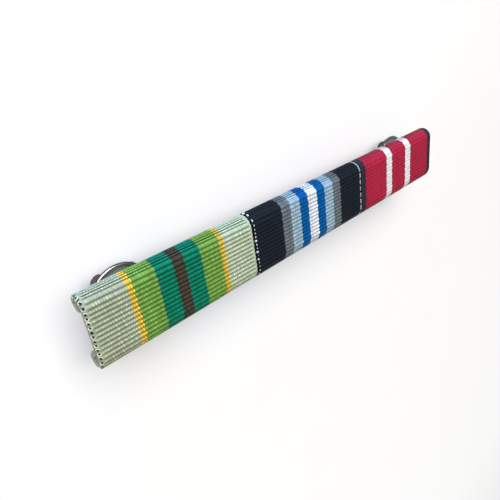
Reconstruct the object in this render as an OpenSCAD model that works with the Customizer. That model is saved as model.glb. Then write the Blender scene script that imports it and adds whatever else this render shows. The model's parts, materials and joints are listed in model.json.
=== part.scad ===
// A three-ribbon bar that lies on its back on its two pin clutches.
// Millimetres. X runs along the bar, Y up its height, Z out of its face.
// The origin is under the middle of the bar, on the surface it lies on.

/* [Ribbons] */
// Width of the left ribbon, along the bar
ribbon_left_w = 32; // [20:0.5:40]
// Width of the middle ribbon
ribbon_middle_w = 32.8; // [20:0.5:40]
// Width of the right ribbon
ribbon_right_w = 31.2; // [20:0.5:40]
// Height of the bar over the ribbons
bar_h = 13.1; // [12:0.1:18]
// Thickness of the woven ribbon
ribbon_t = 1; // [0.6:0.1:1.1]
// Outer radius of the top bend
top_bend_r = 2.2; // [2.2:0.1:2.8]
// Outer radius of the bottom bend
bottom_bend_r = 3; // [2.6:0.1:3.4]
// Angle that the top edge is bent through
top_turn = 120; // [100:5:130]
// Angle that the bottom edge is bent through
bottom_turn = 80; // [70:5:100]
// Angle that the ribbon is turned round the plate's edge
hem_turn = 155; // [90:5:160]
// Gap between the ribbon and the plate under it
wrap_gap = 0.1; // [0.05:0.05:0.15]
// Gap between two ribbons
ribbon_gap = 0.1; // [0.05:0.05:0.3]

/* [Plate] */
// Thickness of the metal plate
plate_t = 0.8; // [0.5:0.1:0.9]
// How far each end of the plate stays inside the ribbons
plate_inset = 0.2; // [0.2:0.1:1.5]

/* [Posts] */
// Middle of the left post, from the left end of the bar
post_inset_left = 9.1; // [7:0.1:20]
// Middle of the right post, from the right end of the bar
post_inset_right = 6.4; // [6.2:0.1:20]
// Radius of a post
post_r = 0.5; // [0.4:0.05:0.6]
// Radius of the solder round the foot of a post
solder_r = 1.7; // [1:0.1:2.2]
// Height of the solder cone
solder_h = 0.7; // [0.4:0.1:1]
// Depth of the waist that the spring grips
waist_depth = 0.15; // [0.06:0.01:0.2]
// Length of that waist
waist_l = 1.6; // [1.5:0.1:2]
// Straight length between the waist and the point
post_end_l = 0.7; // [0.4:0.1:1.5]
// Length of the point
point_l = 0.9; // [0.5:0.1:1.5]
// Radius of the point's blunt tip
tip_r = 0.1; // [0.05:0.05:0.2]

/* [Clutches] */
// Distance from the face of the bar to the front of a clutch
standoff = 7.4; // [6.6:0.1:9]
// Outer radius of a clutch
cap_r = 5.5; // [5:0.1:6]
// Thickness of the clutch's sheet metal
cap_t = 0.3; // [0.25:0.05:0.4]
// Radius of the rolled rim's bead
bead_r = 0.3; // [0.3:0.02:0.45]
// Depth of the dish behind the rim
dish_depth = 0.6; // [0.6:0.05:1]
// Width of the dish's sloping side
dish_slope = 0.7; // [0.4:0.1:1]
// Radial gap between a post and the clutch on it
post_clearance = 0.1; // [0.05:0.01:0.14]
// Width of the raised collar round the clutch's hole
collar_w = 0.7; // [0.4:0.1:1]
// Height of that collar over the dish
collar_h = 0.25; // [0.2:0.05:0.4]
// Number of dimples in the dish
dimples = 6; // [3:1:8]
// Radius of the ring of dimples
dimple_ring_r = 2.8; // [2.4:0.1:3.2]
// Radius of one dimple
dimple_r = 0.55; // [0.4:0.05:0.6]
// Height of a dimple over the dish
dimple_h = 0.25; // [0.15:0.05:0.3]
// Angle from the middle of a wing to the middle of the ear of the cap beside it
ear_turn = 57; // [45:1:135]
// Width of an ear
ear_w = 2.6; // [2.6:0.1:3]
// Radius of the round corners of an ear
ear_round_r = 1.2; // [0.6:0.1:1.2]
// Width of an ear's lip over the spring
lip_w = 1; // [0.7:0.1:1.3]
// Gap between the cap and the spring in it
spring_gap = 0.1; // [0.1:0.02:0.2]
// Thickness of the spring
spring_t = 0.3; // [0.2:0.05:0.4]
// Width of a wing
wing_w = 4.8; // [4:0.2:4.8]
// Radius of the round corners of a wing
wing_round_r = 1.2; // [0.8:0.1:1.8]
// Length of a wing
wing_l = 3.85; // [3:0.05:4.5]
// Angle that a wing leans out
wing_lean = 7; // [5:1:20]
// Width of the slot that parts the spring's two jaws
slot_w = 0.5; // [0.3:0.1:0.8]
// Length of that slot
slot_l = 5; // [3:0.2:6]
// Turn of the left clutch on its post
clutch_turn_left = 8; // [0:1:180]
// Turn of the right clutch on its post
clutch_turn_right = 8; // [0:1:180]

/* [Hidden] */
$fn = 64;

bar_l = ribbon_left_w + ribbon_middle_w + ribbon_right_w;
left_end = -bar_l / 2;
middle_start = left_end + ribbon_left_w;
right_start = middle_start + ribbon_middle_w;
right_end = bar_l / 2;
post_x_left = left_end + post_inset_left;
post_x_right = right_end - post_inset_right;

// The layers of the bar, counted back from its face
plate_front = ribbon_t + wrap_gap;
plate_back = plate_front + plate_t;
hem_r = plate_t / 2 + wrap_gap + ribbon_t;

// The layers of a clutch, counted back from its front
spring_front = dish_depth + cap_t + spring_gap;
spring_back = spring_front + spring_t;
lip_back = spring_back + spring_gap + cap_t;
hole_r = post_r + post_clearance;
spring_r = cap_r - cap_t - 2 * spring_gap;
wing_x = spring_r - 2 * spring_t;
shoulder_x = spring_r - spring_t / 2;
wing_drop = wing_l * cos(wing_lean);

// Heights over the surface, from the wings' tips up
clutch_z = spring_front + wing_drop;
face_z = clutch_z + standoff;
foot_z = face_z - plate_back;
waist_z = clutch_z - dish_depth + collar_h + 2 * spring_gap;

// A wedge about the origin, its angles counted from +Z towards +Y
module wedge(r, from, to) {
    steps = ceil((to - from) / 60);
    polygon(concat([[0, 0]], [for (i = [0:steps])
        let (a = from + (to - from) * i / steps) 2 * r * [sin(a), cos(a)]]));
}

// Part of a ring between two radii and two angles
module ring_part(inner, outer, from, to) {
    intersection() {
        difference() {
            circle(r = outer);
            circle(r = inner);
        }
        wedge(outer, from, to);
    }
}

// Section of one bent edge of the plate, from the middle of its bend
module plate_edge(bend_r, turn) {
    outer = bend_r - plate_front;
    ring_part(outer - plate_t, outer, 0, turn);
    translate((outer - plate_t / 2) * [sin(turn), cos(turn)])
        circle(d = plate_t);
}

// Section of one edge of a ribbon, with the end that is turned round the plate
module ribbon_edge(bend_r, turn) {
    ring_part(bend_r - ribbon_t, bend_r, 0, turn);
    translate((bend_r - hem_r) * [sin(turn), cos(turn)])
        ring_part(hem_r - ribbon_t, hem_r, turn, turn + hem_turn);
}

// Puts a bent edge at the top and one at the bottom of a section
module at_bends() {
    translate([bar_h / 2 - top_bend_r, -top_bend_r])
        children(0);
    translate([bottom_bend_r - bar_h / 2, -bottom_bend_r])
        mirror([1, 0])
            children(1);
}

// The flat of a section between its two bends
module flat_band(front, t) {
    translate([bottom_bend_r - bar_h / 2, -front - t])
        square([bar_h - top_bend_r - bottom_bend_r, t]);
}

module plate_section() {
    flat_band(plate_front, plate_t);
    at_bends() {
        plate_edge(top_bend_r, top_turn);
        plate_edge(bottom_bend_r, bottom_turn);
    }
}

module ribbon_section() {
    flat_band(0, ribbon_t);
    at_bends() {
        ribbon_edge(top_bend_r, top_turn);
        ribbon_edge(bottom_bend_r, bottom_turn);
    }
}

// Draws a section along the bar between two places
module along_bar(from, to) {
    translate([from, 0, face_z])
        rotate([90, 0, 90])
            linear_extrude(to - from)
                children();
}

// One pin post, turned about its axis, from its point up into the plate
module post(x) {
    waist_end = waist_z - waist_l;
    point_z = waist_end - post_end_l;
    bite = plate_t / 2;
    translate([x, 0, 0])
        rotate_extrude()
            polygon([[0, point_z - point_l], [tip_r, point_z - point_l], [post_r, point_z],
                     [post_r, waist_end], [post_r - waist_depth, waist_z - waist_l / 2],
                     [post_r, waist_z], [post_r, foot_z - solder_h],
                     [solder_r, foot_z], [solder_r, foot_z + bite], [0, foot_z + bite]]);
}

module ribbon(from, to) {
    along_bar(from + ribbon_gap / 2, to - ribbon_gap / 2)
        ribbon_section();
}

// Section of the round cap, out from its middle and back from its front
module cap_section() {
    dish_r = cap_r - 2 * bead_r;
    translate([cap_r - bead_r, -bead_r])
        circle(r = bead_r);
    polygon([[cap_r - bead_r, -bead_r], [cap_r - bead_r, -2 * bead_r],
             [dish_r - dish_slope, -dish_depth - cap_t], [dish_r - dish_slope - cap_t, -dish_depth],
             [dish_r, -bead_r]]);
    translate([hole_r, -dish_depth - cap_t]) {
        square([dish_r - dish_slope - hole_r, cap_t]);
        square([collar_w, cap_t + collar_h]);
    }
}

// Section of an ear: a wall back from the rim, and a lip over the spring
module ear_section() {
    translate([cap_r - cap_t, -lip_back])
        square([cap_t, lip_back - bead_r]);
    translate([cap_r - lip_w, -lip_back])
        square([lip_w, cap_t]);
}

// A rectangle that is rounded at its two far corners, out along X from its root
module tab_outline(l, w, round_r) {
    translate([0, -w / 2])
        square([l - round_r, w]);
    translate([0, round_r - w / 2])
        square([l, w - 2 * round_r]);
    for (side = [-1, 1])
        translate([l - round_r, side * (w / 2 - round_r)])
            circle(r = round_r);
}

// An ear of the cap, its middle on +X, with its back corners rounded
module ear() {
    intersection() {
        rotate_extrude()
            ear_section();
        rotate([0, 90, 0])
            linear_extrude(2 * cap_r)
                tab_outline(lip_back, ear_w, ear_round_r);
    }
}

module dimple() {
    rise = (dimple_r * dimple_r - dimple_h * dimple_h) / (2 * dimple_h);
    translate([dimple_ring_r, 0, -dish_depth])
        intersection() {
            translate([0, 0, -rise])
                sphere(r = rise + dimple_h);
            translate([0, 0, -cap_t / 2])
                cylinder(r = dimple_r, h = cap_t + dimple_h);
        }
}

// A clutch's cap: rolled rim, dish with dimples, and an ear beside each wing
module clutch_cap(x, turn) {
    translate([x, 0, clutch_z])
        rotate(turn) {
            rotate_extrude()
                cap_section();
            for (wing = [0, 180])
                rotate(wing - ear_turn)
                    ear();
            for (i = [0:dimples - 1])
                rotate(360 * i / dimples)
                    dimple();
        }
}

// Outline of the spring's disc, cut flat behind the shoulders that its wings are bent from
module disc_outline() {
    intersection() {
        square([2 * shoulder_x, 4 * spring_r], center = true);
        union() {
            circle(r = spring_r);
            square([4 * spring_r, wing_w], center = true);
        }
    }
}

// A clutch's spring: a slotted disc with two wings bent back
module clutch_spring(x, turn) {
    translate([x, 0, clutch_z])
        rotate(turn) {
            translate([0, 0, -spring_back])
                linear_extrude(spring_t)
                    difference() {
                        disc_outline();
                        circle(r = hole_r);
                        square([slot_w, slot_l - slot_w], center = true);
                        for (end = [-1, 1])
                            translate([0, end * (slot_l - slot_w) / 2])
                                circle(d = slot_w);
                    }
            for (side = [0, 180])
                rotate(side)
                    translate([wing_x, 0, -spring_front])
                        rotate([0, 90 - wing_lean, 0])
                            linear_extrude(spring_t)
                                tab_outline(wing_l, wing_w, wing_round_r);
        }
}

module bar_plate() {
    color("silver") {
        along_bar(left_end + plate_inset, right_end - plate_inset)
            plate_section();
        post(post_x_left);
        post(post_x_right);
    }
}

module ribbon_left() {
    color("mediumseagreen")
        ribbon(left_end, middle_start);
}

module ribbon_middle() {
    color("steelblue")
        ribbon(middle_start, right_start);
}

module ribbon_right() {
    color("crimson")
        ribbon(right_start, right_end);
}

module clutch_cap_left() {
    color("lightgray")
        clutch_cap(post_x_left, clutch_turn_left);
}

module clutch_spring_left() {
    color("darkgray")
        clutch_spring(post_x_left, clutch_turn_left);
}

module clutch_cap_right() {
    color("lightgray")
        clutch_cap(post_x_right, clutch_turn_right);
}

module clutch_spring_right() {
    color("darkgray")
        clutch_spring(post_x_right, clutch_turn_right);
}

bar_plate();
ribbon_left();
ribbon_middle();
ribbon_right();
clutch_cap_left();
clutch_spring_left();
clutch_cap_right();
clutch_spring_right();
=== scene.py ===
"""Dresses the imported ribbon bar: three woven ribbons round a plated bar, and two pin clutches."""

import json
import logging
import math
from dataclasses import dataclass, field
from enum import Enum
from functools import reduce

import bpy
import numpy as np
from mathutils import Matrix, Vector

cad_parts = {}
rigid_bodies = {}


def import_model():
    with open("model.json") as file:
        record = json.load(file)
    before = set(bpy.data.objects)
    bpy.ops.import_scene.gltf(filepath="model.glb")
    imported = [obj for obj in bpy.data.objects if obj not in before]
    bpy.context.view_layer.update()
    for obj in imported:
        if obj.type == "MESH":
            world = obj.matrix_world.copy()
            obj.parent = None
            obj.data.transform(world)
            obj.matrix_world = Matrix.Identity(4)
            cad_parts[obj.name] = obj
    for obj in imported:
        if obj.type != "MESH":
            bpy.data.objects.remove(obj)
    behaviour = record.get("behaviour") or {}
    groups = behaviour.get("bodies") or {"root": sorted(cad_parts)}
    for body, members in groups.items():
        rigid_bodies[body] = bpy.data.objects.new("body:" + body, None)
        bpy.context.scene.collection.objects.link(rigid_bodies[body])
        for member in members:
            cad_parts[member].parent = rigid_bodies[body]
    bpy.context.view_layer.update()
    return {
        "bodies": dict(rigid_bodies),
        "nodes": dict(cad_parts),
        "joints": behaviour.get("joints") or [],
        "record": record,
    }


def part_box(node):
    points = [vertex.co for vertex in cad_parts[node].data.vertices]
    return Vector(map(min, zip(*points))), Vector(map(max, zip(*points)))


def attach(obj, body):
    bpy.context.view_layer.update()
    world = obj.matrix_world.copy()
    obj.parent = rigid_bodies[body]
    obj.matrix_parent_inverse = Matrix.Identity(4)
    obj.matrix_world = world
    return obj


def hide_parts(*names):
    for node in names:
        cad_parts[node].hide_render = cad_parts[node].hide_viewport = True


MM = 0.001
WEAVE = "weave"
CALM = "calm"
MOST_RIBS = 100
log = logging.getLogger("ribbon_bar")

Triple = tuple[float, float, float]
Piece = bpy.types.Object
Socket = bpy.types.NodeSocket
Tree = bpy.types.NodeTree


class Yarn(Enum):
    """Colours of the yarns, as linear red, green and blue."""

    SAGE = (0.39, 0.43, 0.285)
    # The same sage yarn, painted lighter for the more light that falls on the ribbon's right end.
    SAGE_WITH_PAINTED_LIGHT = (0.47, 0.54, 0.365)
    YELLOW = (0.65, 0.435, 0.053)
    LEAF = (0.17, 0.34, 0.06)
    EMERALD = (0.003, 0.182, 0.1)
    BROWN = (0.057, 0.048, 0.032)
    BLACK = (0.011, 0.015, 0.021)
    GREY = (0.133, 0.153, 0.167)
    SKY = (0.31, 0.435, 0.51)
    BLUE = (0.001, 0.093, 0.3)
    WHITE = (0.72, 0.735, 0.74)
    RED = (0.37, 0.017, 0.045)
    CHARCOAL = (0.027, 0.027, 0.034)
    LINEN = (0.86, 0.88, 0.88)
    PITH = (0.72, 0.8, 0.6)
    DUSK = (0.42, 0.45, 0.45)


Stripes = tuple[tuple[float, Yarn], ...]


class Side(Enum):
    """An end of a ribbon, as the sign of its way out along the bar."""

    LEFT = -1
    RIGHT = 1


def deselect() -> None:
    """Deselects every object, so that an operator acts on the new one alone."""
    bpy.ops.object.select_all(action="DESELECT")


def coordinates(piece: Piece) -> np.ndarray:
    """Reads a mesh's points.

    Args:
        piece: The object whose mesh is read.

    Returns:
        One row of three numbers for each vertex.
    """
    points = np.zeros(len(piece.data.vertices) * 3, np.float32)
    piece.data.vertices.foreach_get("co", points)
    return points.reshape(-1, 3).astype(float)


def reshape(piece: Piece, points: np.ndarray) -> None:
    """Moves each vertex of a piece's mesh to its new place, in metres."""
    piece.data.vertices.foreach_set("co", points.astype(np.float32).ravel())
    piece.data.update()


def settle(piece: Piece, name: str) -> Piece:
    """Names a piece, points its faces outwards, merges doubles and smooths it.

    Args:
        piece: The finished piece, selected or not.
        name: Its name, given to the object and its mesh.

    Returns:
        The same object.
    """
    deselect()
    piece.select_set(True)
    bpy.context.view_layer.objects.active = piece
    bpy.ops.object.mode_set(mode="EDIT")
    bpy.ops.mesh.select_all(action="SELECT")
    bpy.ops.mesh.remove_doubles(threshold=1e-6)
    bpy.ops.mesh.normals_make_consistent(inside=False)
    bpy.ops.object.mode_set(mode="OBJECT")
    bpy.ops.object.shade_smooth_by_angle(angle=math.radians(60))
    piece.name = piece.data.name = name
    return piece


def coat(piece: Piece, material: bpy.types.Material) -> None:
    """Gives a piece its only material."""
    piece.data.materials.clear()
    piece.data.materials.append(material)


def join(pieces: list[Piece]) -> Piece:
    """Joins several objects into the first.

    Args:
        pieces: The objects to join.

    Returns:
        The object that holds them all.
    """
    deselect()
    for piece in pieces:
        piece.select_set(True)
    bpy.context.view_layer.objects.active = pieces[0]
    bpy.ops.object.join()
    return pieces[0]


def preset(node: bpy.types.Node, values: dict[str, object]) -> None:
    """Sets a node's own sockets to constants."""
    for name, value in values.items():
        node.inputs[name].default_value = value


class NodeSheet:
    """A node tree with short calls for what the finishes need."""

    def __init__(self, tree: Tree) -> None:
        """Takes the tree that nodes are added to."""
        self.tree = tree

    def add(self, kind: str, *values: object, **settings: object) -> bpy.types.Node:
        """Adds a node.

        Args:
            kind: The node's type without its ShaderNode prefix.
            *values: The sockets or constants that its first inputs get.
            **settings: Properties to set on it.

        Returns:
            The new node.
        """
        node = self.tree.nodes.new(kind if kind.startswith("Node") else "ShaderNode" + kind)
        for key, value in settings.items():
            setattr(node, key, value)
        for socket, value in zip(node.inputs, values):
            self.feed(socket, value)
        return node

    def feed(self, socket: Socket, value: object) -> None:
        """Links an input to another node's output, or sets it to a constant.

        Args:
            socket: The input.
            value: The output or the constant.
        """
        if isinstance(value, Socket):
            self.tree.links.new(value, socket)
        else:
            socket.default_value = value

    def math(self, operation: str, *values: object) -> Socket:
        """Works on sockets or numbers with a Math node of the operation named."""
        return self.add("Math", *values, operation=operation).outputs[0]

    def times(self, *factors: object) -> Socket:
        """Multiplies sockets and numbers, two at a time from the first."""
        return reduce(lambda first, second: self.math("MULTIPLY", first, second), factors)

    def vector(self, *parts: Socket) -> Socket:
        """Puts up to three numbers together as a vector, the rest of which is 0."""
        return self.add("CombineXYZ", *parts).outputs[0]

    def split(self, vector: Socket) -> tuple[Socket, ...]:
        """Takes a vector apart into its three numbers."""
        return tuple(self.add("SeparateXYZ", vector).outputs)

    def weave_place(self) -> tuple[Socket, ...]:
        """Reads a ribbon's stored place: mm across, the rib's number and mm over the middle."""
        return self.split(self.add("Attribute", attribute_name=WEAVE).outputs["Vector"])

    def fit(self, value: object, low: float, high: float, to_low: float, to_high: float) -> Socket:
        """Maps a value so that low becomes to_low and high becomes to_high, with none past them."""
        return self.add("MapRange", value, low, high, to_low, to_high).outputs[0]

    def noise(self, vector: Socket, scale: object, detail: float = 2.0) -> Socket:
        """Adds a noise texture.

        Args:
            vector: The coordinates that it reads.
            scale: Its scale, a socket or a number.
            detail: Its detail.

        Returns:
            A value from 0 to 1.
        """
        node = self.add("TexNoise", vector)
        self.feed(node.inputs["Scale"], scale)
        preset(node, {"Detail": detail})
        return node.outputs[0]

    def mix(self, factor: object, first: object, second: object, blend: str = "MIX") -> Socket:
        """Mixes two colours.

        Args:
            factor: The share of the second.
            first: A colour or a socket.
            second: A colour or a socket.
            blend: The way that they are mixed.

        Returns:
            The mixed colour.
        """
        node = self.add("Mix", data_type="RGBA", blend_type=blend)
        self.feed(node.inputs["Factor"], factor)
        for name, value in (("A", first), ("B", second)):
            socket = next(s for s in node.inputs if s.name == name and s.type == "RGBA")
            self.feed(socket, value if isinstance(value, Socket) else (*value, 1.0))
        return next(s for s in node.outputs if s.type == "RGBA")

    def ramp(self, value: Socket, stops: list[tuple[float, Triple]], steps: str) -> Socket:
        """Adds a colour ramp.

        Args:
            value: The socket that it reads.
            stops: Each stop's position from 0 to 1 and its colour.
            steps: The way that it goes from stop to stop.

        Returns:
            The colour.
        """
        node = self.add("ValToRGB", value)
        node.color_ramp.interpolation = steps
        made = node.color_ramp.elements
        while len(made) < len(stops):
            made.new(1.0)
        for stop, (position, colour) in zip(made, stops):
            stop.position = position
            stop.color = (*colour, 1.0)
        return node.outputs[0]

    def bump(self, shader: bpy.types.Node, height: Socket, strength: float, depth: float) -> None:
        """Gives a shader a fine relief.

        Args:
            shader: The shader.
            height: The height from 0 to 1.
            strength: The relief's strength.
            depth: Its depth in mm.
        """
        node = self.add("Bump")
        preset(node, {"Strength": strength, "Distance": depth * MM})
        self.feed(node.inputs["Height"], height)
        self.feed(shader.inputs["Normal"], node.outputs[0])


def new_material(name: str) -> tuple[bpy.types.Material, NodeSheet, bpy.types.Node]:
    """Makes an empty material with a Principled shader.

    Args:
        name: The material's name.

    Returns:
        The material, its node sheet and its shader.
    """
    material = bpy.data.materials.new(name)
    material.use_nodes = True
    material.node_tree.nodes.clear()
    sheet = NodeSheet(material.node_tree)
    shader = sheet.add("BsdfPrincipled")
    output = sheet.add("OutputMaterial")
    material.node_tree.links.new(shader.outputs[0], output.inputs["Surface"])
    return material, sheet, shader


def new_group(
    name: str, inputs: dict[str, float], outputs: tuple[str, ...]
) -> tuple[Tree, NodeSheet]:
    """Makes a shader node group with named sockets.

    Args:
        name: The group's name.
        inputs: The default of each number that it takes.
        outputs: The names of the values that it gives.

    Returns:
        The group and its node sheet.
    """
    group = bpy.data.node_groups.new(name, "ShaderNodeTree")
    for key, value in inputs.items():
        socket = group.interface.new_socket(key, in_out="INPUT", socket_type="NodeSocketFloat")
        socket.default_value = value
    for key in outputs:
        group.interface.new_socket(key, in_out="OUTPUT", socket_type="NodeSocketFloat")
    return group, NodeSheet(group)


@dataclass
class EffectGroups:
    """The node groups that several finishes share, each built once."""

    wander_scale: float = 1.3
    stripe_step: float = 0.25
    glint_across: float = 2.0
    glint_along: float = 1.5
    glint_least: float = 0.1
    film_range: tuple[float, float] = (0.42, 0.66)
    scratch_range: tuple[float, float] = (0.62, 0.7)
    film_detail: float = 5.0
    scratch_detail: float = 3.0
    scratch_turn: Triple = (0.2, 0.3, 0.7)
    scratch_stretch: Triple = (1.0, 9.0, 1.0)
    threads: Tree = field(init=False)
    handling: Tree = field(init=False)

    def __post_init__(self) -> None:
        """Builds the groups."""
        self.threads = self.build_threads()
        self.handling = self.build_handling()

    def build_threads(self) -> Tree:
        """Builds the weave's masks from the flat coordinates stored on a ribbon.

        Returns:
            A group that gives each rib's crown, each warp float's crown, each float's glint (a
            painted highlight of random strength), a tone for each end of warp, and a shift of the
            stripes.
        """
        group, sheet = new_group(
            "woven_threads",
            {"Warp Pitch": 0.45, "Slant": 0.3, "Waver": 0.06, "Zigzag": 0.14, "Wander": 0.55},
            ("Crown", "Float", "Glint", "Thread", "Shift"),
        )
        across, ribs, _ = sheet.weave_place()
        source = sheet.add("NodeGroupInput").outputs
        warps = sheet.math("DIVIDE", across, source["Warp Pitch"])
        bend = sheet.math("COSINE", sheet.times(warps, math.tau))
        parity = sheet.math("FLOORED_MODULO", sheet.math("FLOOR", ribs), 2.0)
        flip = sheet.fit(parity, 0.0, 1.0, 1.0, -1.0)
        ribs = sheet.math("SUBTRACT", ribs, sheet.times(bend, flip, source["Zigzag"]))
        rib = sheet.math("ROUND", ribs)
        off = sheet.math("SUBTRACT", ribs, rib)
        crown = sheet.math("COSINE", sheet.times(off, math.pi))
        odd = sheet.math("FLOORED_MODULO", rib, 2.0)
        phase = sheet.math("ADD", warps, sheet.times(odd, 0.5))
        phase = sheet.math("ADD", phase, sheet.times(off, source["Slant"]))
        drift = sheet.noise(sheet.vector(across, rib), self.wander_scale)
        drift = sheet.times(sheet.math("SUBTRACT", drift, 0.5), source["Wander"])
        phase = sheet.math("ADD", phase, drift)
        thread = sheet.math("ROUND", phase)
        ridge = sheet.math("COSINE", sheet.times(sheet.math("SUBTRACT", phase, thread), math.pi))
        chance = sheet.add("TexWhiteNoise", sheet.vector(thread, rib), noise_dimensions="3D")
        warp = sheet.add("TexWhiteNoise", noise_dimensions="1D")
        sheet.feed(warp.inputs["W"], sheet.math("ROUND", sheet.times(phase, 2.0)))
        weft = sheet.add("TexWhiteNoise", noise_dimensions="1D")
        sheet.feed(weft.inputs["W"], rib)
        swing = sheet.times(sheet.math("SUBTRACT", weft.outputs["Value"], 0.5), source["Waver"])
        shift = sheet.times(source["Warp Pitch"], self.stripe_step)
        step = sheet.times(sheet.math("SUBTRACT", odd, 0.5), shift)
        # Glint: a painted highlight on each float's crest, its strength random from float to float.
        glint = sheet.times(
            sheet.math("POWER", ridge, self.glint_across),
            sheet.math("POWER", sheet.math("MAXIMUM", crown, 0.0), self.glint_along),
            sheet.fit(chance.outputs["Value"], 0.0, 1.0, self.glint_least, 1.0),
        )
        result = sheet.add("NodeGroupOutput").inputs
        sheet.feed(result["Crown"], crown)
        sheet.feed(result["Float"], ridge)
        sheet.feed(result["Glint"], glint)
        sheet.feed(result["Thread"], warp.outputs["Value"])
        sheet.feed(result["Shift"], sheet.math("ADD", swing, step))
        return group

    def build_handling(self) -> Tree:
        """Builds the marks that handling leaves on plated metal.

        Returns:
            A group that gives a film mask, a scratch mask and a fine relief.
        """
        group, sheet = new_group(
            "handling_marks",
            {"Film Scale": 400.0, "Scratch Scale": 900.0},
            ("Film", "Scratch", "Relief"),
        )
        source = sheet.add("NodeGroupInput").outputs
        place = sheet.add("TexCoord").outputs["Object"]
        film = sheet.noise(place, source["Film Scale"], self.film_detail)
        stretch = sheet.add("Mapping", place)
        preset(stretch, {"Rotation": self.scratch_turn, "Scale": self.scratch_stretch})
        lines = sheet.noise(stretch.outputs[0], source["Scratch Scale"], self.scratch_detail)
        result = sheet.add("NodeGroupOutput").inputs
        sheet.feed(result["Film"], sheet.fit(film, *self.film_range, 0.0, 1.0))
        sheet.feed(result["Scratch"], sheet.fit(lines, *self.scratch_range, 0.0, 1.0))
        sheet.feed(result["Relief"], sheet.times(lines, film))
        return group


@dataclass(frozen=True)
class StripedCloth:
    """The finish of one ribbon: its stripes, its yarn's gloss, and the shade and highlights painted
    into its weave.
    """

    name: str
    stripes: Stripes
    width: float
    roughness: float = 0.42
    valley_rough: float = 0.25
    gloss: float = 0.06
    sheen: float = 0.01
    sheen_rough: float = 0.3
    # Strength of the painted shade in the valleys between ribs.
    shade: float = 0.55
    shade_crown: tuple[float, float] = (0.25, 0.95)
    # Strength of the painted highlight on the floats' glints, with darker gaps painted between the
    # floats.
    painted_glint: float = 0.44
    calm_painted_glint: float = 0.2
    end_tone: float = 0.12
    warp_pitch: float = 0.43
    slant: float = 0.45
    zigzag: float = 0.03
    # Painted shade over the top fold: the yarn's colour there is multiplied down to this.
    painted_fold_shade: float = 1.0
    fold_depth: float = 0.8
    eye_reach: float = 0.38
    eye_floor: float = -0.08
    eye_size: tuple[float, float] = (0.2, 0.34)
    eye_shade: float = 0.95

    def band(self, sheet: NodeSheet, shift: Socket) -> Socket:
        """Reads the stripe's colour across the ribbon.

        Args:
            sheet: The material's node sheet.
            shift: How far the stripes' edges are moved on this rib, in mm.

        Returns:
            The yarn's colour.
        """
        across = sheet.math("ADD", sheet.weave_place()[0], shift)
        share = sheet.fit(across, -self.width / 2, self.width / 2, 0.0, 1.0)
        stops = [(max(0.0, edge / self.width + 0.5), yarn.value) for edge, yarn in self.stripes]
        return sheet.ramp(share, stops, "CONSTANT")

    def groove(self, sheet: NodeSheet) -> Socket:
        """Paints shade into the eyes of the weft's loops at each selvedge.

        Args:
            sheet: The material's node sheet.

        Returns:
            A factor on the yarn's colour.
        """
        across, ribs, over = sheet.weave_place()
        reach = self.width / 2 - self.eye_reach
        edge = sheet.math("GREATER_THAN", sheet.math("ABSOLUTE", across), reach)
        upper = sheet.math("GREATER_THAN", over, self.eye_floor)
        away = sheet.math("ABSOLUTE", sheet.math("SUBTRACT", ribs, sheet.math("ROUND", ribs)))
        # Painted shade in each loop's eye, on the upper part of the cloth's side near each
        # selvedge.
        eye = sheet.times(edge, upper, sheet.fit(away, *self.eye_size, self.eye_shade, 0.0))
        return sheet.math("SUBTRACT", 1.0, eye)

    def light(self, sheet: NodeSheet, marks: bpy.types.bpy_prop_collection) -> Socket:
        """Paints shade into the rib valleys, deeper over the top fold, and paints highlights on the
        floats' glints; also paints shade in the selvedge loops' eyes and tones the ends of warp.

        Args:
            sheet: The material's node sheet.
            marks: The outputs of the woven threads' group.

        Returns:
            A factor on the yarn's colour.
        """
        calm = sheet.add("Attribute", attribute_name=CALM).outputs["Fac"]
        # Painted shade in the valleys between ribs, deeper where calm is below 0 over the fold.
        deep = sheet.times(self.shade, sheet.math("SUBTRACT", 1.0, calm))
        valley = sheet.fit(marks["Crown"], *self.shade_crown, 1.0, 0.0)
        # Painted highlights on the floats' glints, weaker where the ribs are drawn flat.
        glint = sheet.times(marks["Glint"], sheet.fit(calm, 0.0, 1.0, 1.0, self.calm_painted_glint))
        return sheet.times(
            sheet.math("SUBTRACT", 1.0, sheet.times(deep, valley)),
            sheet.fit(glint, 0.0, 1.0, 1.0 - self.painted_glint / 2, 1.0 + self.painted_glint),
            sheet.fit(marks["Thread"], 0.0, 1.0, 1.0 - self.end_tone, 1.0 + self.end_tone),
            # Painted shade over the top fold.
            sheet.fit(calm, -self.fold_depth, 0.0, self.painted_fold_shade, 1.0),
            self.groove(sheet),
        )

    def build(self, effects: EffectGroups) -> bpy.types.Material:
        """Builds the material.

        Args:
            effects: The shared node groups.

        Returns:
            The finished material.
        """
        material, sheet, shader = new_material(self.name)
        threads = sheet.add("Group", node_tree=effects.threads)
        weave = {"Warp Pitch": self.warp_pitch, "Slant": self.slant, "Zigzag": self.zigzag}
        preset(threads, weave)
        marks = threads.outputs
        lit = self.light(sheet, marks)
        colour = self.band(sheet, marks["Shift"])
        shaded = sheet.mix(1.0, colour, sheet.vector(lit, lit, lit), "MULTIPLY")
        rough = self.roughness + self.valley_rough
        rough = sheet.fit(marks["Crown"], 0.0, 1.0, rough, self.roughness)
        sheet.feed(shader.inputs["Base Color"], shaded)
        sheet.feed(shader.inputs["Roughness"], rough)
        preset(shader, {"Sheen Weight": self.sheen, "Sheen Roughness": self.sheen_rough})
        preset(shader, {"Specular IOR Level": self.gloss})
        sheet.bump(shader, sheet.times(marks["Float"], marks["Crown"]), strength=0.5, depth=0.03)
        return material


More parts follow.
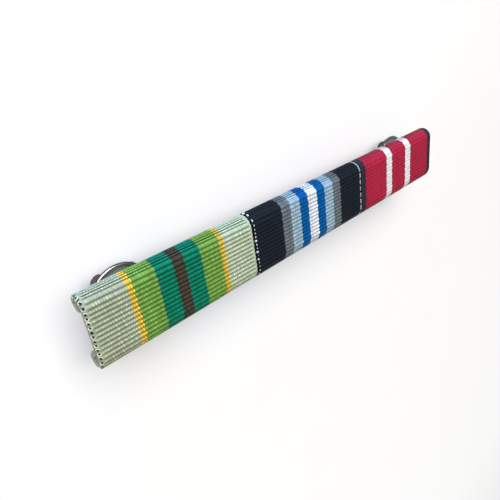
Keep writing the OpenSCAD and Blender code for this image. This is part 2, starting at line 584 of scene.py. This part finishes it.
@dataclass(frozen=True)
class LoopYarn:
    """The finish of a selvedge's loose loops: one yarn with its twist."""

    name: str
    yarn: Yarn
    roughness: float = 0.7
    rough_spread: float = 0.1
    twist_scale: float = 2600.0
    twist_bend: float = 2.0
    twist_most: float = 0.6
    fuzz_scale: float = 3000.0
    fuzz_range: tuple[float, float] = (0.3, 0.7)
    dark: float = 0.6
    sheen: float = 0.3

    def build(self) -> bpy.types.Material:
        """Builds the material.

        Returns:
            The finished material.
        """
        material, sheet, shader = new_material(self.name)
        place = sheet.add("TexCoord").outputs["Object"]
        twist = sheet.add("TexWave", place, bands_direction="DIAGONAL")
        preset(twist, {"Scale": self.twist_scale, "Distortion": self.twist_bend})
        fuzz = sheet.noise(place, self.fuzz_scale)
        tone = sheet.fit(sheet.times(twist.outputs["Fac"], fuzz), 0.0, self.twist_most, 0.0, 1.0)
        dark = tuple(self.dark * c for c in self.yarn.value)
        sheet.feed(shader.inputs["Base Color"], sheet.mix(tone, dark, self.yarn.value))
        low, high = self.roughness - self.rough_spread, self.roughness + self.rough_spread
        sheet.feed(shader.inputs["Roughness"], sheet.fit(fuzz, *self.fuzz_range, low, high))
        preset(shader, {"Sheen Weight": self.sheen})
        sheet.bump(shader, twist.outputs["Fac"], strength=0.4, depth=0.02)
        return material


@dataclass(frozen=True)
class PlatedMetal:
    """A nickel-plated finish with a film of handling and fine scratches."""

    name: str
    bright: Triple
    dull: Triple
    roughness: float
    film: float = 0.18
    film_scale: float = 400.0
    scratch: float = 0.08

    def tone(self, sheet: NodeSheet, film: Socket) -> Socket:
        """Colours the metal, duller under the film of handling."""
        return sheet.mix(film, self.bright, self.dull)

    def metal(self, sheet: NodeSheet) -> Socket | float:
        """Gives the share of bare metal, all of it on a plain piece."""
        return 1.0

    def build(self, effects: EffectGroups) -> bpy.types.Material:
        """Builds the material.

        Args:
            effects: The shared node groups.

        Returns:
            The finished material.
        """
        material, sheet, shader = new_material(self.name)
        group = sheet.add("Group", node_tree=effects.handling)
        preset(group, {"Film Scale": self.film_scale})
        marks = group.outputs
        filmed = sheet.fit(marks["Film"], 0.0, 1.0, self.roughness, self.roughness + self.film)
        scratched = sheet.times(marks["Scratch"], self.scratch)
        sheet.feed(shader.inputs["Base Color"], self.tone(sheet, marks["Film"]))
        sheet.feed(shader.inputs["Metallic"], self.metal(sheet))
        sheet.feed(shader.inputs["Roughness"], sheet.math("ADD", filmed, scratched))
        sheet.bump(shader, marks["Relief"], strength=0.15, depth=0.01)
        return material


@dataclass(frozen=True)
class ClutchMetal(PlatedMetal):
    """Plating with rings of painted reflection: light in the middle of a clutch's dish, dark
    towards its edge and on its outer side, with a painted highlight on its rim.

    The rings of painted reflection are given by their distance from the pin, in mm.
    """

    node: str = ""
    # Painted reflections: light in the dish's middle, dark at its edge, a bright highlight on the
    # rim from 5.0 to 5.34 mm, dark outside it.
    rings: tuple[tuple[float, Triple], ...] = (
        (0.0, (0.95, 0.98, 0.94)),
        (3.4, (0.62, 0.68, 0.64)),
        (4.7, (0.3, 0.34, 0.32)),
        (4.92, (0.12, 0.13, 0.12)),
        (5.0, (1.0, 0.98, 0.96)),
        (5.34, (1.0, 0.98, 0.95)),
        (5.4, (0.13, 0.105, 0.09)),
        (5.6, (0.07, 0.055, 0.045)),
    )
    reach: float = 6.0
    dish: tuple[float, float] = (4.8, 4.95)
    dish_metal: float = 0.45

    def radius(self, sheet: NodeSheet) -> Socket:
        """Measures the distance from the clutch's pin.

        Args:
            sheet: The material's node sheet.

        Returns:
            That distance as a share of the reach.
        """
        low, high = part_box(self.node)
        place = sheet.add("Mapping", sheet.add("TexCoord").outputs["Object"])
        preset(place, {"Location": (-(low[0] + high[0]) / 2, -(low[1] + high[1]) / 2, 0.0)})
        flat = sheet.add("VectorMath", place.outputs[0], (1.0, 1.0, 0.0), operation="MULTIPLY")
        far = sheet.add("VectorMath", flat.outputs[0], operation="LENGTH")
        return sheet.math("DIVIDE", far.outputs["Value"], self.reach * MM)

    def metal(self, sheet: NodeSheet) -> Socket:
        """Gives the share of bare metal, less in the dish."""
        inner, outer = (edge / self.reach for edge in self.dish)
        return sheet.fit(self.radius(sheet), inner, outer, self.dish_metal, 1.0)

    def tone(self, sheet: NodeSheet, film: Socket) -> Socket:
        """Paints the rings of reflection and highlight by their distance from the clutch's pin.

        Args:
            sheet: The material's node sheet.
            film: The mask of the film of handling.

        Returns:
            The metal's colour.
        """
        stops = [(radius / self.reach, colour) for radius, colour in self.rings]
        # The ramp paints highlight and dark reflection into the metal's colour.
        rings = sheet.ramp(self.radius(sheet), stops, "LINEAR")
        return sheet.mix(film, rings, self.dull, "MULTIPLY")


@dataclass
class BarSection:
    """The section that the cloth follows round the bar, in mm, measured in the cloth's middle."""

    height: float = 13.1
    cloth: float = 1.0
    top_bend: float = 2.2
    bottom_bend: float = 3.0
    top_turn: float = math.radians(120)
    bottom_turn: float = math.radians(80)
    hem_bend: float = 1.5
    hem_turn: float = math.radians(155)
    face_z: float = field(init=False)

    def __post_init__(self) -> None:
        """Reads the height of the bar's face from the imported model."""
        self.face_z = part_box("ribbon_left")[1][2] / MM

    @property
    def seen(self) -> tuple[float, float]:
        """Gives how far the cloth shows before it turns under into its hems.

        Returns:
            The least and greatest length along the cloth, counted from the bar's lower edge.
        """
        half = self.cloth / 2
        low = self.bottom_bend - (self.bottom_bend - half) * self.bottom_turn
        high = self.height - self.top_bend + (self.top_bend - half) * self.top_turn
        return low, high

    @property
    def ends(self) -> tuple[float, float]:
        """The least and greatest length along the whole cloth."""
        hem = (self.hem_bend - self.cloth / 2) * self.hem_turn
        return self.seen[0] - hem, self.seen[1] + hem

    def lay(self, along: np.ndarray, over: np.ndarray) -> tuple[np.ndarray, np.ndarray]:
        """Bends flat cloth round the bar.

        Args:
            along: Lengths along the cloth, in mm.
            over: Heights over the middle of its thickness, in mm.

        Returns:
            The places across and out of the bar, in mm.
        """
        half = self.cloth / 2
        across, out = along - self.height / 2, self.face_z - half + over
        for sign, start, bend, turn in (
            (1, self.height - self.top_bend, self.top_bend, self.top_turn),
            (-1, self.bottom_bend, self.bottom_bend, self.bottom_turn),
        ):
            past = sign * (along - start)
            middle = np.array([start - self.height / 2, self.face_z - bend])
            first = (bend - half) * turn
            shift = (bend - self.hem_bend) * np.array([sign * math.sin(turn), math.cos(turn)])
            bent, hemmed = past > 0, past > first
            hem_angle = turn + (past - first) / (self.hem_bend - half)
            angle = np.where(hemmed, hem_angle, past / (bend - half))
            radius = np.where(hemmed, self.hem_bend, bend) - half + over
            centre = middle[None, :] + np.where(hemmed[:, None], shift[None, :], 0.0)
            across = np.where(bent, centre[:, 0] + sign * radius * np.sin(angle), across)
            out = np.where(bent, centre[:, 1] + radius * np.cos(angle), out)
        return across, out


@dataclass(frozen=True)
class LoopShape:
    """The rings of yarn in the chain at one selvedge, in mm and degrees.

    They lie over the cloth's middle and inset from the ribbon's end, lean in by tilt, are turned
    to either side by cross, and on the flat have drawn times their size over the fold.
    """

    over: float
    inset: float
    radius: float
    yarn: float
    tilt: float = 40
    drawn: float = 1.0
    cross: float = 0.0


@dataclass
class WovenRibbon:
    """One ribbon: its place, its ribs, its stripes and its selvedges, in mm."""

    node: str
    slot: str
    section: BarSection
    cloth: StripedCloth
    rib_pitch: float
    rib_start: float
    rib_skew: float
    rib_depth: float
    seed: int
    warp_depth: float = 0.01
    rows_per_rib: int = 6
    columns_per_warp: int = 3
    fold_start: float = 0.9
    fold_calm: float = 0.6
    fold_pitch: float = 0.54
    fold_slope: float = 1.6
    fold_most: float = 0.8
    lean_ease: float = 3.0
    edge_round: float = 0.4
    edge_steps: tuple[float, ...] = (0.0, 0.06, 0.22, 0.5, 1.0)
    edge_inset: float = 0.48
    edge_calm: float = 0.35
    edge_most: float = 0.9
    lip_over: float = -0.1
    groove_over: float = -0.3
    groove_depth: float = 0.15
    rib_swell: float = 0.1
    rib_sharp: float = 0.8
    row_gap: float = 0.3
    loop_seed: int = 7
    loop_spread: float = 0.06
    loop_lift: float = 0.03
    return_seed: int = 9
    return_radius: float = 0.16
    return_stretch: float = 0.4
    return_lift: float = 0.02

    def __post_init__(self) -> None:
        """Reads the ribbon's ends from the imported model."""
        low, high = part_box(self.node)
        self.start, self.end = low[0] / MM, high[0] / MM
        self.middle = (self.start + self.end) / 2
        self.half = (self.end - self.start) / 2

    def columns(self) -> np.ndarray:
        """Places the columns of the sheet, which are closer at its edges.

        Returns:
            Places along the bar from the ribbon's middle.
        """
        step = self.cloth.warp_pitch / self.columns_per_warp
        most = math.floor((self.half - self.edge_inset) / step)
        inner = np.arange(-most, most + 1) * step
        edge = self.half - self.edge_round * np.array(self.edge_steps)
        return np.concatenate([-edge, inner, edge[::-1]])

    def rows(self) -> np.ndarray:
        """Places the rows of the sheet, a whole number for each rib.

        Returns:
            Lengths along the cloth.
        """
        low, high = self.section.ends
        ends = self.count(np.array([low, high])) * self.rows_per_rib
        first, last = math.ceil(ends[0] + self.row_gap), math.floor(ends[1] - self.row_gap)
        inner = self.length(np.arange(first, last + 1) / self.rows_per_rib)
        return np.concatenate([[low], inner, [high]])

    @property
    def fold(self) -> float:
        """The length along the cloth from where its ribs draw together over the bar's top edge."""
        return self.section.height - self.section.top_bend + self.fold_start + self.fold_calm

    def count(self, along: np.ndarray) -> np.ndarray:
        """Turns lengths along the cloth into rib numbers, whole on a crest.

        Args:
            along: Lengths along the cloth.

        Returns:
            Rib numbers.
        """
        past = np.maximum(along - self.fold, 0.0)
        flat = (along - past - self.rib_start) / self.rib_pitch
        return flat + past / (self.rib_pitch * self.fold_pitch)

    def length(self, ribs: np.ndarray) -> np.ndarray:
        """Turns rib numbers back into lengths along the cloth.

        Args:
            ribs: Rib numbers.

        Returns:
            Lengths along the cloth.
        """
        knee = (self.fold - self.rib_start) / self.rib_pitch
        past = np.maximum(ribs - knee, 0.0)
        return self.rib_start + self.rib_pitch * (ribs - past + past * self.fold_pitch)

    def calm(self, across: np.ndarray, along: np.ndarray) -> np.ndarray:
        """Gives how far the ribs are drawn flat, on the fold's slope and beside each selvedge.

        Args:
            across: Places along the bar from the ribbon's middle.
            along: Lengths along the cloth.

        Returns:
            Shares up to 1, and less than 0 where the ribs stand closer and deeper over the fold.
        """
        least = -self.cloth.fold_depth
        slope = np.abs(along - self.fold + self.fold_calm / 2) / (self.fold_calm / 2)
        beside = (self.half - np.abs(across) - self.edge_round) / self.edge_calm
        before = np.clip(self.fold_slope * (1 - slope), 0.0, self.fold_most)
        fold = np.where(along > self.fold, np.clip(self.fold - along, least, 0.0), before)
        return np.maximum(fold, np.clip(1 - beside, least, self.edge_most))

    def lean(self, along: np.ndarray, across: np.ndarray) -> np.ndarray:
        """Gives the lengths along the cloth of points on ribs, since these run a little askew.

        Args:
            along: The lengths where the ribs cross the ribbon's left edge.
            across: Places along the bar from the ribbon's middle.

        Returns:
            The lengths there.
        """
        low, high = self.section.ends
        ease = np.clip(np.minimum(along - low, high - along) / self.lean_ease, 0.0, 1.0)
        return along + self.rib_skew * (across + self.half) * ease

    def place(self, across: np.ndarray, along: np.ndarray, over: np.ndarray) -> np.ndarray:
        """Puts points of the flat ribbon where they lie on the bar, in metres."""
        y, z = self.section.lay(along, over)
        return np.stack([across + self.middle, y, z], axis=1) * MM

    def relief(self, across: np.ndarray, ribs: np.ndarray, calm: np.ndarray) -> np.ndarray:
        """Gives the height of the woven face over the middle of the cloth.

        Args:
            across: Places along the bar from the ribbon's middle.
            ribs: Rib numbers, whole on a crest.
            calm: How far the ribs are drawn flat.

        Returns:
            Heights in mm.
        """
        swell = 1.0 + self.rib_swell * np.random.RandomState(self.seed).randn(2 * MOST_RIBS)
        warps = across / self.cloth.warp_pitch
        bend = np.cos(math.tau * warps) * (1 - 2 * np.mod(np.floor(ribs), 2))
        ribs = ribs - self.cloth.zigzag * bend
        rib = np.round(ribs)
        crown = np.cos(np.pi * (ribs - rib))
        turn = warps + np.mod(rib, 2) / 2 + self.cloth.slant * (ribs - rib)
        depth = self.rib_depth * swell[(rib + MOST_RIBS).astype(int)] * (1 - calm)
        valley = depth * (1 - np.clip(crown, 0, 1) ** self.rib_sharp)
        furrow = self.warp_depth * crown * (1 - np.cos(math.tau * turn))
        return self.section.cloth / 2 - valley - furrow

    def block(self, columns: int, rows: int) -> Piece:
        """Makes a flat block with a grid on its top and bottom and two more rings round its side.

        Args:
            columns: The number of columns of points.
            rows: The number of rows of points.

        Returns:
            The block, 2 units across and along, its levels at heights 0, 1, 2 and 3.
        """
        deselect()
        bpy.ops.mesh.primitive_grid_add(x_subdivisions=columns - 1, y_subdivisions=rows - 1, size=2)
        bpy.ops.object.mode_set(mode="EDIT")
        for _ in range(3):
            bpy.ops.mesh.extrude_region_move(TRANSFORM_OT_translate={"value": (0, 0, 1)})
        bpy.ops.object.mode_set(mode="OBJECT")
        return bpy.context.object

    def weave(self) -> Piece:
        """Makes the ribbon: its woven face, its back, and a groove in each selvedge between.

        Returns:
            The closed piece.
        """
        columns, rows = self.columns(), self.rows()
        piece = self.block(len(columns), len(rows))
        points = coordinates(piece)
        i = np.round((points[:, 0] + 1) / 2 * (len(columns) - 1)).astype(int)
        j = np.round((points[:, 1] + 1) / 2 * (len(rows) - 1)).astype(int)
        level = np.round(points[:, 2]).astype(int)
        across, row = columns[i], rows[j]
        ribs = self.count(row)
        calm = self.calm(across, row)
        near = np.clip(self.half - np.abs(across), 0, self.edge_round)
        drop = self.edge_round - np.sqrt(self.edge_round**2 - (self.edge_round - near) ** 2)
        face = self.relief(across, ribs, calm) - drop
        back = np.full(len(across), -self.section.cloth / 2)
        groove = [np.full(len(across), height) for height in (self.groove_over, self.lip_over)]
        over = np.choose(level, [back, *groove, face])
        inset = np.choose(level, [0.0, self.groove_depth, 0.0, 0.0]) * drop / self.edge_round
        reshape(piece, self.place(across - np.sign(across) * inset, self.lean(row, across), over))
        low, high = self.section.seen
        hemmed_edge = (level > 0) & (near < self.edge_round) & ((row < low) | (row > high))
        ribs = np.where(hemmed_edge, np.round(ribs) + 0.5, ribs)
        flat = np.stack([across, ribs, over], axis=1).astype(np.float32)
        mark = piece.data.attributes.new(WEAVE, "FLOAT_VECTOR", "POINT")
        mark.data.foreach_set("vector", flat.ravel())
        mark = piece.data.attributes.new(CALM, "FLOAT", "POINT")
        mark.data.foreach_set("value", calm.astype(np.float32))
        return settle(piece, self.node + "_cloth")

    def crests(self) -> np.ndarray:
        """Gives the lengths along the cloth of the ribs' crests, apart from those of its hems."""
        first, last = self.count(np.array(self.section.seen))
        return self.length(np.arange(math.ceil(first), math.floor(last) + 1))

    def picks(self) -> np.ndarray:
        """Places a selvedge's loops, one for each rib and on the fold one for two.

        Returns:
            Lengths along the cloth.
        """
        crests = self.crests()
        past = crests > self.fold
        return np.concatenate([crests[~past], crests[past][1::2]])

    def spot(self, edge: float, along: float) -> float:
        """Gives the length along the cloth at which a rib's crest meets a selvedge."""
        return float(self.lean(np.array([along]), np.array([edge]))[0])

    def scatter(self, master: Piece, spots: list[tuple[float, ...]], name: str) -> Piece:
        """Copies a small flat piece to places on the cloth and joins the copies.

        Args:
            master: The piece, in mm across, along and over the cloth; it is used up.
            spots: For each copy, its place across, along and over, its size and its turn.
            name: The name of the joined piece.

        Returns:
            The joined piece.
        """
        flat = coordinates(master)
        copies = []
        for across, along, over, size, turn in spots:
            copy = master.copy()
            copy.data = master.data.copy()
            bpy.context.scene.collection.objects.link(copy)
            spin = np.array(Matrix.Rotation(-turn, 3, "Z"))
            points = size * flat @ spin + np.array([across, along, over])
            reshape(copy, self.place(*points.T))
            copies.append(copy)
        bpy.data.objects.remove(master)
        return settle(join(copies), name)

    def loop_chain(self, side: Side, shape: LoopShape) -> Piece:
        """Makes the chain of weft loops at one selvedge, a ring of yarn for each rib.

        Args:
            side: The end of the ribbon.
            shape: The rings' sizes and angles.

        Returns:
            The joined rings.
        """
        deselect()
        bpy.ops.mesh.primitive_torus_add(
            major_segments=14, minor_segments=8, major_radius=shape.radius, minor_radius=shape.yarn
        )
        master = bpy.context.object
        x, y, z = coordinates(master).T
        cos, sin = math.cos(math.radians(shape.tilt)), math.sin(math.radians(shape.tilt))
        leaned = [-side.value * (z * cos + y * sin), x, y * cos - z * sin]
        reshape(master, np.stack(leaned, axis=1))
        chance = np.random.RandomState(self.seed + self.loop_seed)
        edge = side.value * (self.half - shape.inset)
        spots = []
        for order, crest in enumerate(self.picks()):
            drawn = 1.0 if crest > self.fold - self.fold_calm else shape.drawn
            size = drawn * (1 + self.loop_spread * chance.randn())
            over = shape.over + self.loop_lift * chance.randn()
            turn = math.radians(shape.cross) * (-1) ** order
            spots.append((edge, self.spot(edge, crest), over, size, turn))
        return self.scatter(master, spots, f"{self.node}_loops_{side.name.lower()}")

    def lying_loops(self, side: Side, over: float, inset: float) -> Piece:
        """Makes the weft's returns that lie along one selvedge, each over two ribs.

        Args:
            side: The end of the ribbon.
            over: The height of their middles over the middle of the cloth.
            inset: How far they lie inside the ribbon's end.

        Returns:
            The joined returns.
        """
        deselect()
        bpy.ops.mesh.primitive_uv_sphere_add(segments=12, ring_count=12, radius=self.return_radius)
        master = bpy.context.object
        points = coordinates(master)[:, [0, 2, 1]]
        points[:, 1] += self.return_stretch * np.sign(np.round(points[:, 1], 2))
        reshape(master, points)
        edge = side.value * (self.half - inset)
        chance = np.random.RandomState(self.seed + self.return_seed)
        spots = []
        for crest in self.crests()[:-1:2]:
            height = over + self.return_lift * chance.randn()
            size = 1 + self.loop_spread * chance.randn()
            spots.append((edge, self.spot(edge, crest + self.rib_pitch / 2), height, size, 0.0))
        return self.scatter(master, spots, f"{self.node}_returns_{side.name.lower()}")

    def dress(self, effects: EffectGroups, selvedges: list[tuple[Piece, LoopYarn]]) -> None:
        """Args:
            effects: The shared node groups.
            selvedges: The loops that are part of it, each with its finish.
        """
        piece = self.weave()
        coat(piece, self.cloth.build(effects))
        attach(piece, "bar")
        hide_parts(self.node)
        for loops, yarn in selvedges:
            coat(loops, yarn.build())
            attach(loops, "bar")
        faces = len(piece.data.polygons)
        log.info("%s: %d faces, %d selvedge pieces", piece.name, faces, len(selvedges))


@dataclass(frozen=True)
class PlatedNode:
    """A CAD node that stays and gets a plated finish."""

    node: str
    finish: PlatedMetal

    def dress(self, frame: dict, effects: EffectGroups) -> None:
        """Gives the node its finish.

        Args:
            effects: The shared node groups.
        """
        piece = frame["nodes"][self.node]
        coat(piece, bpy.data.materials.get(self.finish.name) or self.finish.build(effects))
        log.info("%s: %s", self.node, self.finish.name)


@dataclass(frozen=True)
class Lamp:
    """A soft square light that faces the bar, with its place and side in m and power in watts."""

    name: str
    spot: Triple
    size: float
    power: float
    colour: Triple

    def build(self) -> None:
        """Adds the light."""
        light = bpy.data.lights.new(self.name, "AREA")
        light.size, light.energy, light.color = self.size, self.power, self.colour
        holder = bpy.data.objects.new(self.name, light)
        spot = Vector(self.spot)
        turn = spot.to_track_quat("Z", "Y").to_matrix().to_4x4()
        holder.matrix_world = Matrix.Translation(spot) @ turn
        bpy.context.scene.collection.objects.link(holder)


@dataclass(frozen=True)
class TableFinish:
    """The floor's finish, with painted light that makes it look even under the lamps, and a faint
    glow of its own.
    """

    # Grain in a warm colour, which cancels the blue of the sky and the cool lamps.
    grain: tuple[Triple, Triple] = ((0.75, 0.727, 0.7), (0.77, 0.747, 0.72))
    # Painted light: the floor is lighter far in front, where the key lamp's light falls off.
    front: Triple = (0.88, 0.875, 0.865)
    # Painted tint: warmer behind the bar and to the left, against the cool lamps' light there.
    behind: Triple = (0.76, 0.715, 0.655)
    front_y: tuple[float, float] = (-0.22, -0.015)
    behind_y: tuple[float, float] = (-0.02, 0.01)
    behind_x: tuple[float, float] = (-0.04, 0.03)
    grain_scale: float = 60.0
    roughness: float = 0.9
    gloss: float = 0.1
    # The floor's own glow, painted light that no lamp gives.
    glow: float = 0.06

    def build(self) -> bpy.types.Material:
        """Builds the material.

        Returns:
            The finished material.
        """
        material, sheet, shader = new_material("glowing_floor")
        place = sheet.add("TexCoord").outputs["Object"]
        x, y, _ = sheet.split(place)
        grain = sheet.mix(sheet.noise(place, self.grain_scale), *self.grain)
        front = sheet.fit(y, *self.front_y, 1.0, 0.0)
        behind = sheet.times(
            sheet.fit(y, *self.behind_y, 0.0, 1.0), sheet.fit(x, *self.behind_x, 1.0, 0.0)
        )
        tone = sheet.mix(behind, sheet.mix(front, grain, self.front), self.behind)
        sheet.feed(shader.inputs["Base Color"], tone)
        preset(shader, {"Roughness": self.roughness, "Specular IOR Level": self.gloss})
        preset(shader, {"Emission Color": (1.0, 1.0, 1.0, 1.0), "Emission Strength": self.glow})
        return material


@dataclass(frozen=True)
class Studio:
    """The pale floor, the soft lights and the camera, whose axes were fitted to the photograph."""

    lamps: tuple[Lamp, ...] = (
        Lamp("key", (-0.33, 0.9, 1.17), 1.3, 36.0, (1.0, 1.0, 1.0)),
        Lamp("cool_back", (-0.055, 0.09, 0.018), 0.04, 0.08, (0.0, 0.32, 1.0)),
        Lamp("cool_wide", (0.2, 0.35, 0.05), 0.1, 0.25, (0.1, 0.45, 1.0)),
    )
    eye: Triple = (-0.064192, 0.036118, 0.0680885)
    right: Triple = (0.7157, -0.1354, 0.6852)
    down: Triple = (-0.3933, -0.8888, 0.2353)
    ahead: Triple = (0.5771, -0.4379, -0.6893)
    lens: float = 32.957
    floor_size: float = 3.0
    sky: tuple[float, float] = (0.08, 0.37)

    def floor(self) -> None:
        """Lays the floor that the part rests on."""
        deselect()
        bpy.ops.mesh.primitive_plane_add(size=self.floor_size)
        piece = bpy.context.object
        piece.name = "studio_floor"
        coat(piece, TableFinish().build())

    def light(self) -> None:
        """Sets the lamps, and a sky that is dim near the floor and bright overhead."""
        world = bpy.data.worlds.new("studio_world")
        world.use_nodes = True
        sheet = NodeSheet(world.node_tree)
        height = sheet.split(sheet.add("TexCoord").outputs["Generated"])[2]
        backdrop = world.node_tree.nodes["Background"]
        backdrop.inputs[0].default_value = (1.0, 1.0, 1.0, 1.0)
        sheet.feed(backdrop.inputs[1], sheet.fit(height, 0.0, 1.0, *self.sky))
        bpy.context.scene.world = world
        for lamp in self.lamps:
            lamp.build()
        bpy.context.scene.view_settings.view_transform = "Standard"

    def camera(self) -> None:
        """Puts the camera where the photograph was taken from."""
        data = bpy.data.cameras.new("eye")
        data.lens, data.sensor_width, data.sensor_fit = self.lens, 36.0, "HORIZONTAL"
        data.clip_start, data.clip_end = 0.001, 10.0
        holder = bpy.data.objects.new("eye", data)
        up, behind = [-c for c in self.down], [-c for c in self.ahead]
        axes = Matrix((self.right, up, behind)).transposed().to_4x4()
        holder.matrix_world = Matrix.Translation(self.eye) @ axes
        bpy.context.scene.collection.objects.link(holder)
        bpy.context.scene.camera = holder

    def build(self) -> None:
        """Builds the whole studio."""
        self.floor()
        self.light()
        self.camera()
        log.info("studio: floor, lights and camera")


def mirrored(half: Stripes, outer: Yarn, last: Yarn | None = None) -> Stripes:
    """Lists the stripes of a symmetric ribbon from its left edge.

    Args:
        half: From the middle out, each stripe's outer edge and its yarn.
        outer: The yarn outside the last of them.
        last: The yarn at the ribbon's right edge, where a copy painted lighter stands for more
            light falling there.

    Returns:
        For each stripe its left edge, from the ribbon's middle, and its yarn.
    """
    left = [(-math.inf, outer)] + [(-edge, yarn) for edge, yarn in reversed(half)]
    yarns = [yarn for _, yarn in half[1:]] + [last or outer]
    right = [(edge, yarn) for (edge, _), yarn in zip(half, yarns)]
    return tuple(left + right)


def main() -> None:
    """Builds the studio and dresses every part of the bar."""
    logging.basicConfig(level=logging.INFO, format="%(message)s")
    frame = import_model()
    Studio().build()
    effects = EffectGroups()
    section = BarSection()

    green_half = ((1.02, Yarn.BROWN), (4.15, Yarn.EMERALD), (8.14, Yarn.LEAF), (9.24, Yarn.YELLOW))
    blue_half = ((1.32, Yarn.WHITE), (3.75, Yarn.BLUE), (6.44, Yarn.SKY), (8.96, Yarn.GREY))
    red_half = ((2.97, Yarn.RED), (5.29, Yarn.WHITE), (13.7, Yarn.RED))
    # The right edge's sage is painted lighter, for the more light that falls there.
    green = StripedCloth("cloth_green", mirrored(green_half, Yarn.SAGE, Yarn.SAGE_WITH_PAINTED_LIGHT), width=32.0)
    # The blue and red ribbons get painted shade over their top folds and their own strength of
    # painted glint.
    blue = StripedCloth(
        "cloth_blue", mirrored(blue_half, Yarn.BLACK), width=32.8,
        shade=0.4, painted_glint=0.45, painted_fold_shade=0.85,
    )
    red = StripedCloth(
        "cloth_red", mirrored(red_half, Yarn.CHARCOAL), width=31.2,
        shade=0.16, painted_glint=0.36, painted_fold_shade=0.66,
    )
    left = WovenRibbon(
        "ribbon_left", "ribbon_green", section, green, seed=3,
        rib_pitch=0.756, rib_start=0.074, rib_skew=-0.014, rib_depth=0.2,
    )
    middle = WovenRibbon(
        "ribbon_middle", "ribbon_blue", section, blue, seed=4,
        rib_pitch=0.738, rib_start=0.065, rib_skew=-0.015, rib_depth=0.13,
    )
    right = WovenRibbon(
        "ribbon_right", "ribbon_red", section, red, seed=5,
        rib_pitch=0.746, rib_start=0.684, rib_skew=0.005, rib_depth=0.05,
    )
    shape = LoopShape(over=0.22, inset=0.18, radius=0.26, yarn=0.09, cross=25)
    chain = left.loop_chain(Side.LEFT, shape)
    left.dress(effects, [(chain, LoopYarn("loops_sage", Yarn.PITH))])
    shape = LoopShape(over=0.36, inset=0.28, radius=0.13, yarn=0.11, tilt=50, drawn=0.9)
    chain = middle.loop_chain(Side.LEFT, shape)
    returns = middle.lying_loops(Side.RIGHT, over=0.4, inset=0.2)
    white, dusk = LoopYarn("loops_white", Yarn.LINEN), LoopYarn("loops_dusk", Yarn.DUSK)
    middle.dress(effects, [(chain, white), (returns, dusk)])
    shape = LoopShape(over=0.2, inset=0.15, radius=0.22, yarn=0.09)
    chain = right.loop_chain(Side.RIGHT, shape)
    right.dress(effects, [(chain, LoopYarn("loops_black", Yarn.CHARCOAL))])

    spring = PlatedMetal("nickel_spring", (0.45, 0.45, 0.44), (0.3, 0.29, 0.28), 0.26)
    plate = PlatedMetal("nickel_plate", (0.3, 0.24, 0.19), (0.2, 0.15, 0.12), 0.34, film_scale=220)
    PlatedNode("bar_plate", plate).dress(frame, effects)
    for side in ("left", "right"):
        cap = f"clutch_cap_{side}"
        name = f"nickel_clutch_{side}"
        clutch = ClutchMetal(name, (1.0, 1.0, 1.0), (0.75, 0.73, 0.7), 0.16, node=cap)
        PlatedNode(cap, clutch).dress(frame, effects)
        PlatedNode(f"clutch_spring_{side}", spring).dress(frame, effects)


if __name__ == "__main__":
    main()
